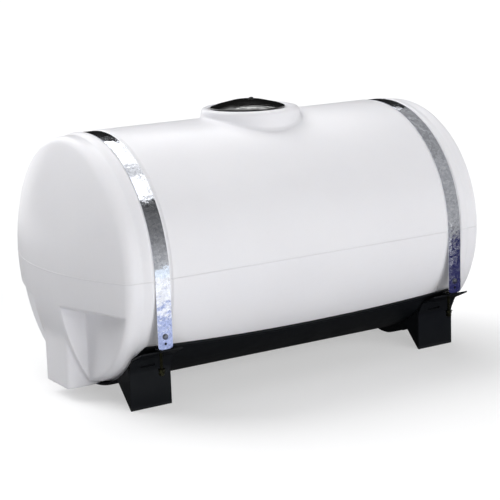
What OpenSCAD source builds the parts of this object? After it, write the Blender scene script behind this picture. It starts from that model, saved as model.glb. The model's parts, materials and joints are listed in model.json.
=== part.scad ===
// Horizontal applicator tank held by two bands on a steel cradle.
// Millimetres, +Z up, floor at z = 0, length along X, drain end at -X, front at -Y.

/* [Tank shell] */
// Width of the tank across its sides
tank_w = 820; // [700:1:940]
// Depth of the tank below its mould line
lower_depth = 392; // [340:1:450]
// Squareness of the lower half, where 2 is an ellipse
corner_power = 2.05; // [2:0.05:2.4]
// Wall thickness of the moulded shell
shell_t = 6; // [3:0.5:8]
// Length of the straight barrel between the two ends
straight_l = 1286; // [1270:1:1500]
// Radius of the rounded edge of each end
knuckle_r = 41; // [30:1:60]
// Radius of the shallow dome of each end
crown_r = 792; // [600:1:1100]
// How far the barrel drops towards the ends
end_step = 8; // [6:0.5:12]

/* [Drain end] */
// Width of the drain sump
sump_w = 162; // [120:1:180]
// Reach of the sump's flat face beyond the straight barrel
sump_reach = 97; // [80:1:120]
// Height of the sump's underside above the tank's underside
sump_lift = 4; // [3:1:15]
// Radius of the sump's upright edges
sump_edge_r = 14; // [6:1:24]
// Half distance between the two fitting recesses
recess_y = 100; // [92:1:140]
// Distance from the straight barrel to the recess's back wall
recess_back = 31; // [22:1:50]
// Depth of the recess's inner corner below the mould line
recess_drop = 143; // [110:1:200]
// Slope of the recess's ceiling along the tank
recess_pitch = 22; // [0:1:30]
// Slope of the recess's ceiling across the tank
recess_roll = 7; // [0:1:15]

/* [Bands] */
// Distance between the middles of the two bands
band_spacing = 1118; // [1000:1:1118]
// Width of a band
band_w = 50; // [30:1:60]
// Thickness of a band
band_t = 2.5; // [1.5:0.5:4]
// Depth of the seat that a band lies in
seat_step = 5; // [3:0.5:6]
// Width of the seat left clear inboard of a band
seat_in = 6; // [3:1:12]
// Width of the seat left clear outboard of a band
seat_out = 26; // [10:1:40]
// Height of a band's ends above the tank's underside
band_rise = 178; // [152:1:182]
// Radius of the corners of a band's ends
band_corner_r = 10; // [4:1:14]

/* [Band fixings] */
// Diameter of the bolt through a band's end
bolt_d = 8; // [6:1:10]
// Width across flats of the bolt's head and nut
bolt_af = 14; // [12:1:17]
// Height of the bolt's head
bolt_head_h = 5.5; // [4:0.5:7]
// Height of the bolt's nut
bolt_nut_h = 6.5; // [5:0.5:8]
// Distance from a band's end up to its bolt
bolt_edge = 39; // [34:1:54]
// Distance from the bolt down to the spare hole
hole_pitch = 22; // [18:1:24]
// Thickness of the angle clip behind a band's end
lug_t = 4; // [3:0.5:6]
// Width of the angle clip
lug_w = 28; // [20:1:40]
// Reach of the angle clip's foot in from the band
clip_reach = 44; // [40:1:46]
// Diameter of the tie stud
stud_d = 10; // [8:1:12]
// Height of the tie stud's lower end above the tank's underside
stud_rise = 86; // [62:1:102]
// Width across flats of the stud's nut
nut_af = 17; // [15:1:19]
// Height of the stud's nut
nut_h = 18; // [6:1:20]
// Outer diameter of the washer under the flange
washer_d = 24; // [20:1:28]
// Thickness of the washer under the flange
washer_t = 2; // [1.5:0.5:3]

/* [Fill opening] */
// Diameter of the fill hole
fill_d = 236; // [200:1:244]
// Rise of the collar's top above the top of the tank
collar_rise = 19; // [16:1:40]
// Offset of the fill opening from the middle, away from the drain end
fill_x = 12; // [0:1:20]
// Outer diameter of the collar at its top
collar_top_d = 318; // [300:1:326]
// Outer diameter of the collar at the height of the tank's crest
collar_wall_d = 332; // [328:1:350]
// Outer diameter of the collar at its foot
collar_foot_d = 366; // [352:1:380]
// Radius of the collar's top outer edge
collar_edge_r = 12; // [3:1:14]
// Diameter of the lid
lid_d = 250; // [248:1:270]
// Thickness of the lid's rim
lid_t = 14; // [6:0.5:16]
// Depth of the lid's threaded skirt
skirt_h = 24; // [12:1:30]
// Wall thickness of the lid
lid_wall = 4; // [3:0.5:6]
// Diameter of the lid's raised middle
boss_d = 186; // [150:1:200]
// Height of the lid's raised middle above the rim
boss_h = 22; // [8:1:26]

/* [Cradle] */
// Height of the tank's underside above the floor
floor_gap = 34; // [24:1:60]
// Thickness of the cradle trough
trough_t = 3; // [2:0.5:5]
// Gap between the tank and the trough
trough_gap = 0.5; // [0.3:0.1:1]
// Height of the trough's upper edges above the tank's underside, at the legs
trough_rise = 178; // [167:1:187]
// Sag of the trough's upper edges halfway between the legs
trough_sag = 26; // [0:1:34]
// Length of the slanted corner of the trough along the tank
trough_chamfer_l = 33; // [10:1:60]
// Height of the slanted corner of the trough
trough_chamfer_h = 40; // [20:1:60]
// Height of the edge rail along the trough
rail_h = 12; // [8:1:20]
// Thickness of the edge rail
rail_t = 4; // [3:0.5:6]

/* [Legs] */
// Width of a leg along the tank
leg_w = 144; // [120:1:180]
// Thickness of the leg plate
leg_t = 5; // [3:0.5:6]
// Distance from the tank's side in to a leg's outer face
leg_inset = 112; // [100:1:116]
// Height of the leg's bend below the trough's outer face
bend_gap = 24; // [8:1:30]
// Reach of the leg's slanted part
slant_reach = 23; // [20:1:26]
// Rise of the leg's slanted part
slant_rise = 42; // [36:1:46]
// Slope of the strap flange
flange_pitch = 25; // [15:1:26]
// Length of the flange beyond the tie stud
flange_over = 12; // [10:1:24]
// Slope of the gusset's free edge
gusset_pitch = 45; // [35:1:60]
// Thickness of the cross-member's webs
web_t = 4; // [3:0.5:6]
// Depth of the cross-member below the trough
web_depth = 5; // [4:0.5:12]
// Extra depth of the cross-member at its two lobes
lobe_depth = 24; // [0:1:26]
// Distance from the middle plane to a lobe's lowest point
lobe_y = 158; // [130:1:180]

/* [Build] */
// Piece to draw, or all of them

/* [Hidden] */
tank_r = tank_w / 2;
axis_h = lower_depth + floor_gap;
half_l = straight_l / 2;
collar_top = tank_r + collar_rise;
sump_face = half_l + sump_reach;
sump_depth = lower_depth - sump_lift;
recess_x = half_l + recess_back;
leg_face = tank_r - leg_inset;
band_x = band_spacing / 2;
end_r = tank_r - end_step;
seat_r = tank_r - seat_step;
main_half = band_x - band_w / 2 - seat_in;
seat_end = band_x + band_w / 2 + seat_out;
sec_n = 32;
big = 2000;
trough_out = trough_gap + trough_t;
cradle_half = band_x + leg_w / 2;
lug_in = seat_r - lug_t;
band_drop = lower_depth - band_rise;
bolt_drop = band_drop - bolt_edge;
stud_drop = lower_depth - stud_rise;
trough_drop = lower_depth - trough_rise;
clip_y = seat_r - clip_reach;
stud_y = clip_y + stud_d / 2 + 8;
spare_drop = bolt_drop + hole_pitch;
lug_top = bolt_drop - bolt_af;
lug_low = band_drop + 10;
slant_y = leg_face + slant_reach;
flange_y = stud_y + flange_over;
foot_y = leg_face - leg_t;
nut_low = stud_drop - 3;
fill_r = fill_d / 2;
skirt_r = fill_r - 1;
boss_r = boss_d / 2;
collar_foot = tank_r * cos(asin(collar_foot_d / 2 / tank_r));
white = [0.90, 0.91, 0.92];
black = [0.06, 0.06, 0.07];
zinc = [0.66, 0.70, 0.76];
yellow = [0.62, 0.56, 0.30];
lid_black = [0.03, 0.03, 0.03];
$fn = 96;

// Outline of the tank across its length, inset by o
function upper_pt(r, i) = [r * cos(180 * i / sec_n), r * sin(180 * i / sec_n)];
function bent(v) = sign(v) * pow(abs(v), 2 / corner_power);
function lower_pt(r, d, i) = [-r * bent(cos(180 * i / sec_n)), -d * bent(sin(180 * i / sec_n))];
function outline(o, s = 1) = concat(
  [for (i = [0 : sec_n]) s * upper_pt(tank_r - o, i)],
  [for (i = [1 : sec_n - 1]) s * lower_pt(tank_r - o, lower_depth - o, i)]
);
// Depth of the inset outline at a distance y from the middle plane
function outline_depth(o, y) = (lower_depth - o)
  * pow(1 - pow(min(1, abs(y) / (tank_r - o)), corner_power), 1 / corner_power);

bend_drop = outline_depth(-trough_out, leg_face) + bend_gap;
slant_drop = bend_drop - slant_rise;

// Places a shape drawn across the tank, from x0 to x1
module along(x0, x1) {
  translate([x0, 0, axis_h])
    rotate([90, 0, 90])
      linear_extrude(height = x1 - x0)
        children();
}

module run(o, x0, x1) {
  along(x0, x1) polygon(outline(o));
}

module barrel_outer() {
  run(seat_step, -seat_end, seat_end);
  run(0, -main_half, main_half);
}

module barrel_inner() {
  run(end_step + shell_t, -seat_end - 5, seat_end + 5);
  run(seat_step + shell_t, -seat_end + shell_t, seat_end - shell_t);
  run(shell_t, -main_half + shell_t, main_half - shell_t);
}

module barrel_shell() {
  difference() {
    barrel_outer();
    barrel_inner();
  }
}

module fill_hole(r) {
  translate([fill_x, 0, axis_h])
    cylinder(h = collar_top + lid_t, r = r);
}

module barrel_upper() {
  color(white)
    difference() {
      barrel_shell();
      translate([-big, -big, axis_h - big]) cube([2 * big, 2 * big, big]);
      fill_hole(fill_r);
    }
}

module barrel_lower() {
  color(white)
    difference() {
      barrel_shell();
      translate([-big, -big, axis_h]) cube([2 * big, 2 * big, big]);
    }
}

// End dome: rings of the outline, scaled along the knuckle and the crown
knuckle_n = 6;
crown_n = 9;
crown_a = asin((end_r - knuckle_r) / (crown_r - knuckle_r));
crown_x = half_l - (crown_r - knuckle_r) * cos(crown_a);
function knuckle_ring(g, i) = let (a = 90 - (90 - crown_a) * i / knuckle_n)
  [half_l + (knuckle_r - g) * cos(a), end_r - knuckle_r + (knuckle_r - g) * sin(a)];
function crown_ring(g, i) = let (a = crown_a * (1 - i / crown_n))
  [crown_x + (crown_r - g) * cos(a), (crown_r - g) * sin(a)];
function dome_rings(g, back) = concat(
  [[seat_end - back, end_r - g]],
  [for (i = [0 : knuckle_n]) knuckle_ring(g, i)],
  [for (i = [1 : crown_n - 1]) crown_ring(g, i)]
);

module dome_solid(g, back) {
  rings = dome_rings(g, back);
  m = 2 * sec_n;
  k = len(rings);
  pts = concat(
    [for (q = rings, p = outline(end_step + g, q[1] / (end_r - g))) [q[0], p[0], p[1]]],
    [[crown_x + crown_r - g, 0, 0]]
  );
  sides = [
    for (j = [0 : k - 2], i = [0 : m - 1], t = [0, 1])
      t == 0
        ? [j * m + i, (j + 1) * m + i, j * m + (i + 1) % m]
        : [j * m + (i + 1) % m, (j + 1) * m + i, (j + 1) * m + (i + 1) % m]
  ];
  tip = [for (i = [0 : m - 1]) [(k - 1) * m + i, k * m, (k - 1) * m + (i + 1) % m]];
  base = [[for (i = [0 : m - 1]) i]];
  translate([0, 0, axis_h])
    polyhedron(points = pts, faces = concat(base, sides, tip), convexity = 4);
}

module left_dome(g, back) {
  mirror([1, 0, 0]) dome_solid(g, back);
}

// Room for a fitting beside the sump, its walls moved out by g
module recess_front(g) {
  intersection() {
    translate([-big, -big, 0]) cube([big - recess_x + g, big - recess_y + g, axis_h]);
    translate([-recess_x, -recess_y, axis_h - recess_drop + g])
      rotate([-recess_roll, recess_pitch, 0])
        translate([-big, -big, -big])
          cube([2 * big, 2 * big, big]);
  }
}

module recesses(g) {
  recess_front(g);
  mirror([0, 1, 0]) recess_front(g);
}

// Sump block, its walls moved in by g
module sump_block(g) {
  low = axis_h - sump_depth + g;
  r = max(1, sump_edge_r - g);
  w = sump_w / 2 - g;
  x0 = -sump_face + g;
  x1 = -half_l - 7 - g;
  translate([0, 0, low])
    linear_extrude(height = sump_depth - recess_drop) {
      translate([x0 + r, -w]) square([x1 - x0 - r, 2 * w]);
      translate([x0, -w + r]) square([x1 - x0, 2 * w - 2 * r]);
      translate([x0 + r, -w + r]) circle(r);
      translate([x0 + r, w - r]) circle(r);
    }
}

module left_end_cap() {
  color(white)
    difference() {
      left_dome(0, 0);
      recesses(0);
      difference() {
        left_dome(shell_t, 5);
        recesses(shell_t);
      }
      sump_block(shell_t);
    }
}

module drain_sump() {
  color(white)
    difference() {
      sump_block(0);
      sump_block(shell_t);
      left_dome(0, 0);
    }
}

module right_end_cap() {
  color(white)
    difference() {
      dome_solid(0, 0);
      dome_solid(shell_t, 5);
    }
}

module fill_collar() {
  r1 = collar_foot_d / 2;
  r2 = collar_top_d / 2;
  rw = collar_wall_d / 2;
  e = collar_edge_r;
  low = collar_foot - 12;
  color(white)
    difference() {
      translate([fill_x, 0, axis_h])
        rotate_extrude()
          polygon(concat(
            [[fill_r, low], [r1, low], [r1, collar_foot], [rw, tank_r]],
            [for (a = [0 : 15 : 90]) [r2 - e + e * cos(a), collar_top - e + e * sin(a)]],
            [[fill_r, collar_top]]
          ));
      run(0, fill_x - r1 - 20, fill_x + r1 + 20);
    }
}

module lid_rim() {
  r = lid_d / 2;
  top = collar_top + lid_t;
  color(lid_black)
    translate([fill_x, 0, axis_h])
      rotate_extrude()
        polygon([
          [boss_r, collar_top], [skirt_r - lid_wall, collar_top],
          [skirt_r - lid_wall, collar_top - skirt_h], [skirt_r, collar_top - skirt_h],
          [skirt_r, collar_top], [r, collar_top], [r, top - 3], [r - 3, top], [boss_r, top]
        ]);
}

// Profile of the lid's raised middle, its foot at height z
dome_f = [[1, 0], [0.985, 0.2], [0.93, 0.42], [0.8, 0.66], [0.6, 0.86], [0.3, 0.97], [0, 1]];
function boss_line(r, z) = [for (q = dome_f) [r * q[0], z + boss_h * q[1]]];
function reversed(v) = [for (i = [len(v) - 1 : -1 : 0]) v[i]];
module lid_boss() {
  ri = boss_r - lid_wall;
  top = collar_top + lid_t;
  color(lid_black)
    translate([fill_x, 0, axis_h])
      rotate_extrude()
        polygon(concat(
          [[ri, collar_top], [boss_r, collar_top]],
          boss_line(boss_r, top),
          reversed(boss_line(ri, top - lid_wall))
        ));
}

module band(x) {
  r0 = seat_r;
  r1 = seat_r + band_t;
  c = band_corner_r;
  color(zinc) {
    along(x - band_w / 2, x + band_w / 2)
      difference() {
        circle(r1, $fn = 160);
        circle(r0, $fn = 160);
        translate([-big, -2 * big]) square([2 * big, 2 * big]);
      }
    for (s = [-1, 1])
      translate([x, s > 0 ? r1 : -r0, axis_h])
        rotate([90, 0, 0])
          linear_extrude(height = band_t)
            difference() {
              union() {
                translate([-band_w / 2, -band_drop + c]) square([band_w, band_drop - c]);
                translate([-band_w / 2 + c, -band_drop]) square([band_w - 2 * c, band_drop]);
                translate([-band_w / 2 + c, -band_drop + c]) circle(c, $fn = 48);
                translate([band_w / 2 - c, -band_drop + c]) circle(c, $fn = 48);
              }
              translate([0, -bolt_drop]) circle(d = bolt_d + 0.6, $fn = 32);
              translate([0, -spare_drop]) circle(d = bolt_d + 0.6, $fn = 32);
            }
  }
}

module left_band() {
  band(-band_x);
}

module right_band() {
  band(band_x);
}

// A front fixing, placed at a band's front or back
module corner(x, back) {
  translate([x, 0, axis_h])
    mirror([0, back, 0])
      children();
}

module four_corners() {
  corner(-band_x, 0) children();
  corner(-band_x, 1) children();
  corner(band_x, 0) children();
  corner(band_x, 1) children();
}

module bolt_one() {
  out = seat_r + band_t;
  translate([0, 0, -bolt_drop])
    rotate([90, 0, 0]) {
      translate([0, 0, out])
        cylinder(h = bolt_head_h, d = bolt_af / cos(30), $fn = 6);
      translate([0, 0, lug_in - bolt_nut_h - 2])
        cylinder(h = out - lug_in + bolt_nut_h + 3, d = bolt_d, $fn = 32);
      translate([0, 0, lug_in - bolt_nut_h])
        cylinder(h = bolt_nut_h, d = bolt_af / cos(30), $fn = 6);
    }
}

module band_bolts() {
  color(zinc) four_corners() bolt_one();
}

module stud_one() {
  difference() {
    union() {
      translate([-lug_w / 2, -seat_r, -lug_low])
        cube([lug_w, lug_t, lug_low - lug_top]);
      translate([-lug_w / 2, -seat_r, -lug_low])
        cube([lug_w, clip_reach, lug_t]);
      translate([0, -stud_y, -stud_drop])
        cylinder(h = stud_drop - lug_low + lug_t + 4, d = stud_d, $fn = 32);
    }
    for (d = [bolt_drop, spare_drop])
      translate([0, -seat_r - 1, -d])
        rotate([-90, 0, 0])
          cylinder(h = lug_t + 4, d = bolt_d + 0.6, $fn = 32);
  }
}

module tie_studs() {
  color(yellow) four_corners() stud_one();
}

// Height of the flange's underside at a distance y, from the mould line
function flange_low(y) = -slant_drop + (y - (slant_y - leg_t)) * tan(flange_pitch);

module nut_one() {
  translate([0, -stud_y, -nut_low])
    difference() {
      cylinder(h = nut_h, d = nut_af / cos(30), $fn = 6);
      translate([0, 0, -1]) cylinder(h = nut_h + 2, d = stud_d, $fn = 32);
    }
}

module stud_nuts() {
  color(yellow) four_corners() nut_one();
}

module washer_one() {
  translate([0, -stud_y, -nut_low + nut_h])
    difference() {
      cylinder(h = washer_t, d = washer_d, $fn = 48);
      translate([0, 0, -1]) cylinder(h = washer_t + 2, d = stud_d, $fn = 32);
    }
}

module stud_washers() {
  color(yellow) four_corners() washer_one();
}

// Room above the trough's sagging upper edges, moved down by d
edge_n = 16;
edge_half = cradle_half - trough_chamfer_l;
function edge_pt(i, d) = let (u = 2 * i / edge_n - 1)
  [u * edge_half, -trough_drop - d - trough_sag * (1 - u * u)];
module above_edge(d, low) {
  e = cradle_half + 2;
  translate([0, big, axis_h])
    rotate([90, 0, 0])
      linear_extrude(height = 2 * big)
        polygon(concat(
          [[-e, big], [-e, low - 1]],
          [[-cradle_half - 1, low - 1]],
          [for (i = [0 : edge_n]) edge_pt(i, d)],
          [[cradle_half + 1, low - 1]],
          [[e, low - 1], [e, big]]
        ));
}

module cradle_trough() {
  color(black)
    difference() {
      run(-trough_out, -cradle_half, cradle_half);
      run(-trough_gap, -cradle_half - 5, cradle_half + 5);
      above_edge(0, -trough_drop - trough_chamfer_h);
    }
}

module edge_rail(back) {
  color(black)
    mirror([0, back, 0])
      difference() {
        intersection() {
          run(-trough_out - rail_t, -edge_half, edge_half);
          above_edge(rail_h, -trough_drop);
        }
        run(-trough_out, -edge_half - 5, edge_half + 5);
        above_edge(0, -trough_drop);
        translate([-big, 0, -big]) cube([2 * big, big, 2 * big]);
      }
}

module front_edge_rail() {
  edge_rail(0);
}

module back_edge_rail() {
  edge_rail(1);
}

// Lower edge of the cross-member, from the middle plane to the leg
web_low = lower_depth + trough_out + web_depth;
lobe_low = outline_depth(-trough_out, lobe_y) + web_depth + lobe_depth;
lobe_run = (foot_y - lobe_y) * 4 / 9;
function web_edge(u) = [
  [0, -web_low + u], [lobe_y * 0.45, -web_low + u],
  [lobe_y * 0.75, -lobe_low + 3 + u], [lobe_y, -lobe_low + u],
  [lobe_y + 0.45 * lobe_run, -lobe_low + 0.27 * lobe_run + u],
  [lobe_y + lobe_run, -lobe_low + 0.73 * lobe_run + u],
  [foot_y, -outline_depth(-trough_out, foot_y) - 12 + u], [foot_y, 0], [0, 0]
];

module web_shape(u) {
  polygon(web_edge(u));
  mirror([1, 0]) polygon(web_edge(u));
}

module crossmember(x) {
  h = leg_w / 2 - leg_t;
  color(black)
    difference() {
      union() {
        along(x - h, x - h + web_t) web_shape(0);
        along(x + h - web_t, x + h) web_shape(0);
        along(x - h, x + h)
          difference() {
            web_shape(0);
            web_shape(web_t);
          }
      }
      run(-trough_out, x - leg_w, x + leg_w);
    }
}

module left_crossmember() {
  crossmember(-band_x);
}

module right_crossmember() {
  crossmember(band_x);
}

// Leg and flange, drawn for the front, with distances from the middle plane
module leg_shape() {
  polygon([
    [-leg_face, -axis_h], [-leg_face, -bend_drop], [-slant_y, flange_low(slant_y)],
    [-slant_y + leg_t, flange_low(slant_y - leg_t)], [-foot_y, -bend_drop], [-foot_y, -axis_h]
  ]);
}

module gusset_shape() {
  up = axis_h - bend_drop + 40;
  polygon([
    [-foot_y - 0.5, -axis_h], [-foot_y - 0.5, -bend_drop], [-foot_y + up / tan(gusset_pitch), -bend_drop],
    [-foot_y + up / tan(gusset_pitch), -axis_h + up], [-foot_y, -axis_h]
  ]);
}

module leg(x, back) {
  color(black)
    mirror([0, back, 0])
      difference() {
        union() {
          along(x - leg_w / 2, x + leg_w / 2) leg_shape();
          along(x - leg_w / 2, x - leg_w / 2 + leg_t) gusset_shape();
          along(x + leg_w / 2 - leg_t, x + leg_w / 2) gusset_shape();
        }
        run(-trough_out, x - leg_w, x + leg_w);
      }
}

module front_left_leg() {
  leg(-band_x, 0);
}

module back_left_leg() {
  leg(-band_x, 1);
}

module front_right_leg() {
  leg(band_x, 0);
}

module back_right_leg() {
  leg(band_x, 1);
}

module flange(x, back) {
  y0 = slant_y - leg_t;
  t = leg_t / cos(flange_pitch);
  color(black)
    mirror([0, back, 0])
      difference() {
        along(x - leg_w / 2, x + leg_w / 2)
          polygon([
            [-y0, flange_low(y0)], [-flange_y, flange_low(flange_y)],
            [-flange_y, flange_low(flange_y) + t], [-y0, flange_low(y0) + t]
          ]);
        translate([x, -stud_y, 0]) cylinder(h = axis_h, d = stud_d + 2, $fn = 32);
        run(-trough_out, x - leg_w, x + leg_w);
      }
}

module front_left_flange() {
  flange(-band_x, 0);
}

module back_left_flange() {
  flange(-band_x, 1);
}

module front_right_flange() {
  flange(band_x, 0);
}

module back_right_flange() {
  flange(band_x, 1);
}

barrel_upper();
barrel_lower();
left_end_cap();
right_end_cap();
drain_sump();
fill_collar();
lid_rim();
lid_boss();
left_band();
right_band();
band_bolts();
tie_studs();
stud_nuts();
stud_washers();
cradle_trough();
front_edge_rail();
back_edge_rail();
left_crossmember();
right_crossmember();
front_left_leg();
back_left_leg();
front_right_leg();
back_right_leg();
front_left_flange();
back_left_flange();
front_right_flange();
back_right_flange();
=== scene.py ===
import json
import math

import bmesh
import bpy
import numpy as np
from mathutils import Matrix, Vector


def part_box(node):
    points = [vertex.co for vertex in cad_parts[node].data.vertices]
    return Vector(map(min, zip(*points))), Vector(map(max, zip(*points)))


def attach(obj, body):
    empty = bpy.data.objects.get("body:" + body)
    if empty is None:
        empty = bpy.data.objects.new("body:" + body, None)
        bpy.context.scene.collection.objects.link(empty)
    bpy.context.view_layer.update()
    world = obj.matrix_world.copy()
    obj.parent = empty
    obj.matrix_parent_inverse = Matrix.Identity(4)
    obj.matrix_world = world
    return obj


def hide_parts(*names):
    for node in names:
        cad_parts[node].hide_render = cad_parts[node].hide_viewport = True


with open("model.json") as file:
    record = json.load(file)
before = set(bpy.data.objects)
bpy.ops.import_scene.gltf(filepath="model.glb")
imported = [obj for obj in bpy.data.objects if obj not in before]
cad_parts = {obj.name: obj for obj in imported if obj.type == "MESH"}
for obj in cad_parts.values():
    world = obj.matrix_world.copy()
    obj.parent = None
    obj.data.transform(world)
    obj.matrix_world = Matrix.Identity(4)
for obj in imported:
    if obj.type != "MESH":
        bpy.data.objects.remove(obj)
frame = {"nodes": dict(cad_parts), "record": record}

MM = 0.001
TAU = 2.0 * math.pi
scene = bpy.context.scene


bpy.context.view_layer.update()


def box(node):
    lo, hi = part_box(node)
    return Vector(lo), Vector(hi)


# --- Measures, from the frame 
lower_lo, lower_hi = box("barrel_lower")
AXIS = lower_hi.z
TANK_R = lower_hi.y
TANK_D = AXIS - lower_lo.z
SEAT_END = lower_hi.x
# Exponent of the lower half's outline, where 2 would be an ellipse
CORNER = 2.05
SEAT_STEP = 5 * MM
END_STEP = 8 * MM
END_R = TANK_R - END_STEP
KNUCKLE_R = 41 * MM
CROWN_R = 792 * MM
LINE_PROUD = 1 * MM
CROWN_A = math.asin((END_R - KNUCKLE_R) / (CROWN_R - KNUCKLE_R))
CROWN_X = box("right_end_cap")[1].x - LINE_PROUD - CROWN_R
HALF_L = CROWN_X + (CROWN_R - KNUCKLE_R) * math.cos(CROWN_A)
band_lo, band_hi = box("left_band")
BAND_X = -(band_lo.x + band_hi.x) / 2
BAND_W = band_hi.x - band_lo.x
BAND_T = 2.5 * MM
BAND_R = band_hi.y
MAIN_HALF = BAND_X - BAND_W / 2 - 6 * MM
AROUND = 192
KNUCKLE_RINGS = 10
CROWN_RINGS = 14
LIP_STEP = 0.4 * MM


# --- Making a piece ---------
def mesh_from(bm, name):
    mesh = bpy.data.meshes.new(name)
    bm.to_mesh(mesh)
    bm.free()
    return mesh


def new_object(name, data):
    thing = bpy.data.objects.new(name, data)
    scene.collection.objects.link(thing)
    return thing


def add_piece(name, bm, slot, *nodes, sharp):
    """A visible piece, shown in place of the nodes that are named."""
    bmesh.ops.recalc_face_normals(bm, faces=bm.faces[:])
    return dress(name, mesh_from(bm, name), slot, *nodes, sharp=sharp)


def dress(name, mesh, slot, *nodes, sharp=None):
    mesh.name = name
    mesh.shade_smooth()
    if sharp is not None:
        mesh.set_sharp_from_angle(angle=math.radians(sharp))
    mesh.materials.clear()
    mesh.materials.append(SLOTS[slot])
    piece = new_object(name, mesh)
    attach(piece, "root")
    if nodes:
        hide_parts(*nodes)
    return piece


def new_verts(result):
    return [g for g in result["geom"] if isinstance(g, bmesh.types.BMVert)]


def loose_edges(verts):
    """Edges between the given vertices."""
    mine = set(verts)
    edges = dict.fromkeys(e for v in verts for e in v.link_edges)
    return [e for e in edges if all(v in mine for v in e.verts)]


def chain(bm, points):
    """Points joined by edges, one after another."""
    verts = [bm.verts.new(p) for p in points]
    return verts, [bm.edges.new(pair) for pair in zip(verts, verts[1:])]


def spin(bm, geom, steps, centre=(0, 0, 0)):
    """A full turn about an upright axis."""
    bmesh.ops.spin(bm, geom=geom, cent=centre, axis=(0, 0, 1), dvec=(0, 0, 0), angle=TAU,
                   steps=steps, use_merge=True)


def sweep_edges(bm, edges, step):
    far = new_verts(bmesh.ops.extrude_edge_only(bm, edges=edges))
    bmesh.ops.translate(bm, vec=step, verts=far)
    return far


def sweep_faces(bm, faces, step):
    far = new_verts(bmesh.ops.extrude_face_region(bm, geom=faces))
    bmesh.ops.translate(bm, vec=step, verts=far)


def round_off(bm, edges, offset, segments, clamp=False):
    bmesh.ops.bevel(bm, geom=edges, offset=offset, offset_type="OFFSET", segments=segments,
                    profile=0.5, affect="EDGES", material=-1, clamp_overlap=clamp)


def outline_face(bm, points):
    """A flat face inside a closed line through the points."""
    ring = [bm.verts.new(p) for p in points]
    edges = [bm.edges.new((ring[i - 1], ring[i])) for i in range(len(ring))]
    return bmesh.ops.contextual_create(bm, geom=edges)["faces"][0]


def bent(v):
    """A cosine or sine drawn towards the corners of the tank's lower half."""
    return math.copysign(abs(v) ** (2.0 / CORNER), v)


def across(turn, inset, scale=1.0):
    """Point of the tank's outline, as distances from its long axis."""
    c, s = math.cos(turn), math.sin(turn)
    r = (TANK_R - inset) * scale
    d = (TANK_D - inset) * scale
    if s >= 0:
        return r * c, r * s
    return r * bent(c), d * bent(s)


def loft_tank(bm, rings):
    """Outline rings (x, inset, scale) drawn out one after another, closed at both ends."""
    turn = bm.verts.layers.float.new("turn")
    ring = bmesh.ops.create_circle(bm, segments=AROUND, radius=1.0)["verts"]
    for v in ring:
        v[turn] = math.atan2(v.co.y, v.co.x)

    def place(verts, x, inset, scale):
        for v in verts:
            y, z = across(v[turn], inset, scale)
            v.co = (x, y, AXIS + z)

    place(ring, *rings[0])
    edges = loose_edges(ring)
    bmesh.ops.contextual_create(bm, geom=edges)
    for spec in rings[1:]:
        ring = new_verts(bmesh.ops.extrude_edge_only(bm, edges=edges))
        edges = loose_edges(ring)
        place(ring, *spec)
    bmesh.ops.contextual_create(bm, geom=edges)


def steps_from(r, z, *steps):
    """Points of a section at steps (outwards, upwards), in millimetres, from a corner."""
    return [(r + out * MM, z + rise * MM) for out, rise in steps]


def arc(cx, cz, r, a0, a1, n):
    """Points on a circle, from one angle to the other in degrees."""
    turns = [math.radians(a0 + (a1 - a0) * i / n) for i in range(n + 1)]
    return [(cx + r * math.cos(a), cz + r * math.sin(a)) for a in turns]


# --- Materials --------------
def new_group(name, takes, gives):
    """Shader node group with named number sockets; takes holds their first values."""
    group = bpy.data.node_groups.new(name, "ShaderNodeTree")
    for label, value in takes.items():
        socket = group.interface.new_socket(label, in_out="INPUT", socket_type="NodeSocketFloat")
        socket.default_value = value
    for label in gives:
        group.interface.new_socket(label, in_out="OUTPUT", socket_type="NodeSocketFloat")
    start = group.nodes.new("NodeGroupInput")
    end = group.nodes.new("NodeGroupOutput")
    return group, start.outputs, end.inputs


def add(tree, kind, settings=None, **inputs):
    """A node with its settings and inputs; an input is a value or a socket to link from.

    An input goes by its name, with _ for a space, or by its number, as i0 or i1."""
    node = tree.nodes.new("ShaderNode" + kind)
    for key, value in (settings or {}).items():
        setattr(node, key, value)
    for key, value in inputs.items():
        numbered = key[0] == "i" and key[1:].isdigit()
        socket = node.inputs[int(key[1:]) if numbered else key.replace("_", " ")]
        if isinstance(value, bpy.types.NodeSocket):
            tree.links.new(value, socket)
        else:
            socket.default_value = value
    return node


def calc(tree, operation, *values):
    """What a Math node gives for the values or sockets."""
    inputs = {"i" + str(i): value for i, value in enumerate(values)}
    return add(tree, "Math", {"operation": operation}, **inputs).outputs[0]


def noise(tree, where, scale, detail, roughness=0.5):
    return add(tree, "TexNoise", Vector=where, Scale=scale, Detail=detail, Roughness=roughness)


def ramp(tree, fac, *stops):
    """Grey ramp through stops (place, shade)."""
    node = tree.nodes.new("ShaderNodeValToRGB")
    tree.links.new(fac, node.inputs[0])
    for stop, (place, shade) in zip(node.color_ramp.elements, stops):
        stop.position = place
        stop.color = (shade, shade, shade, 1.0)
    return node.outputs[0]


def patch_group():
    """Soft patches and fine specks over a surface."""
    g, takes, gives = new_group("patches", {"Size": 0.2, "Speck Size": 0.004}, ["Patches", "Specks"])
    where = add(g, "TexCoord").outputs["Object"]
    soft = noise(g, where, calc(g, "DIVIDE", 1.0, takes["Size"]), 3.0, 0.55)
    fine = noise(g, where, calc(g, "DIVIDE", 1.0, takes["Speck Size"]), 1.0, 0.4)
    g.links.new(ramp(g, soft.outputs[0], (0.3, 0.0), (0.7, 1.0)), gives["Patches"])
    g.links.new(ramp(g, fine.outputs[0], (0.66, 0.0), (0.74, 1.0)), gives["Specks"])
    return g


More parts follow.
